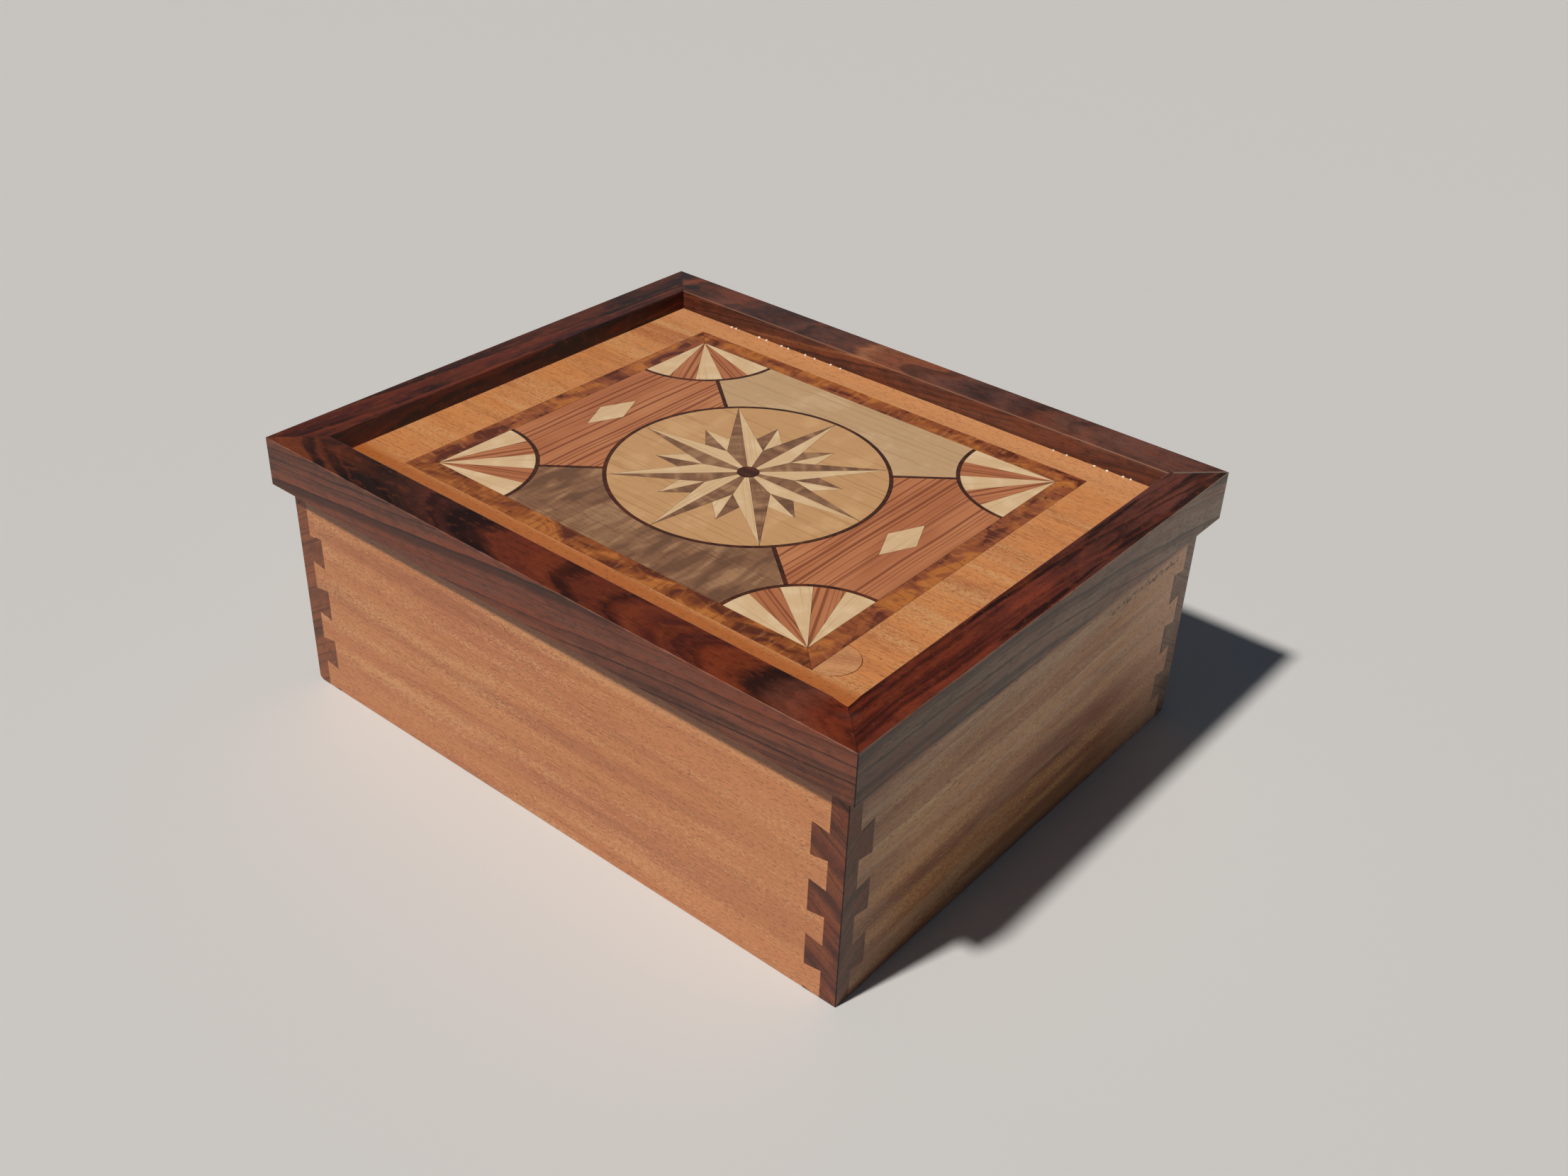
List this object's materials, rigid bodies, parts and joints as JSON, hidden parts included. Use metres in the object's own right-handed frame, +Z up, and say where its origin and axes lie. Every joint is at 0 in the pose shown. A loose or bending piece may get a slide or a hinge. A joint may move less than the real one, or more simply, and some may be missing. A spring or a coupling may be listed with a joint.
{
  "type": "pen box",
  "caption": "Lidded wooden box with dovetailed corner posts, a lift-off framed marquetry lid and a lift-out tray that holds pens",
  "frame": {"origin": "centre of the footprint, on the surface that the box stands on", "axes": "+X along the long front towards the right end, +Y from the front to the back, +Z up"},
  "size_m": [0.263, 0.2144, 0.1045],
  "materials": {
    "ribbon_mahogany": "satin oil finish",
    "dark_rosewood": "gloss oil finish",
    "birch_plywood": "bare",
    "green_felt": "matt",
    "mahogany_veneer": "satin",
    "burl_veneer": "satin",
    "maple_veneer": "satin",
    "tan_veneer": "satin",
    "sycamore_veneer": "satin",
    "cedar_veneer": "satin",
    "walnut_veneer": "satin",
    "rosewood_veneer": "satin"
  },
  "bodies": {
    "case": {"front_board": "ribbon_mahogany", "back_board": "ribbon_mahogany", "left_board": "ribbon_mahogany", "right_board": "ribbon_mahogany", "post_front_left": "dark_rosewood", "post_front_right": "dark_rosewood", "post_back_left": "dark_rosewood", "post_back_right": "dark_rosewood", "base_panel": "birch_plywood", "base_felt": "green_felt", "left_ledge": "ribbon_mahogany", "right_ledge": "ribbon_mahogany"},
    "tray": {"tray_front": "ribbon_mahogany", "tray_back": "ribbon_mahogany", "tray_left": "ribbon_mahogany", "tray_right": "ribbon_mahogany", "tray_base": "birch_plywood", "tray_felt": "green_felt", "pen_rest_front": "ribbon_mahogany", "pen_rest_back": "ribbon_mahogany"},
    "lid": {"frame_front": "dark_rosewood", "frame_back": "dark_rosewood", "frame_left": "dark_rosewood", "frame_right": "dark_rosewood", "locator_front": "dark_rosewood", "locator_back": "dark_rosewood", "locator_left": "dark_rosewood", "locator_right": "dark_rosewood", "panel_core": "birch_plywood", "panel_backing": "mahogany_veneer", "field_veneer": "mahogany_veneer", "veneer_patch": "mahogany_veneer", "burl_front": "burl_veneer", "burl_back": "burl_veneer", "burl_left": "burl_veneer", "burl_right": "burl_veneer", "star_long_light": "maple_veneer", "star_long_shaded": "walnut_veneer", "star_short_light": "maple_veneer", "star_short_shaded": "walnut_veneer", "star_ground": "tan_veneer", "star_boss": "rosewood_veneer", "ring_stringing": "rosewood_veneer", "fan_light_blades": "maple_veneer", "fan_red_blades": "cedar_veneer", "fan_stringing": "rosewood_veneer", "ground_front": "walnut_veneer", "ground_back": "sycamore_veneer", "ground_left": "cedar_veneer", "ground_right": "cedar_veneer", "diagonal_stringing": "rosewood_veneer", "side_lozenges": "maple_veneer"}
  },
  "joints": [
    {"name": "lid_lift", "type": "slide", "parent": "case", "child": "lid", "axis": [0, 0, 1], "range_m": [0, 0.12]},
    {"name": "tray_lift", "type": "slide", "parent": "case", "child": "tray", "axis": [0, 0, 1], "range_m": [0, 0.06]}
  ],
  "couplings": [
    {"joint": "tray_lift", "follows": "lid_lift", "ratio": 0.5}
  ]
}
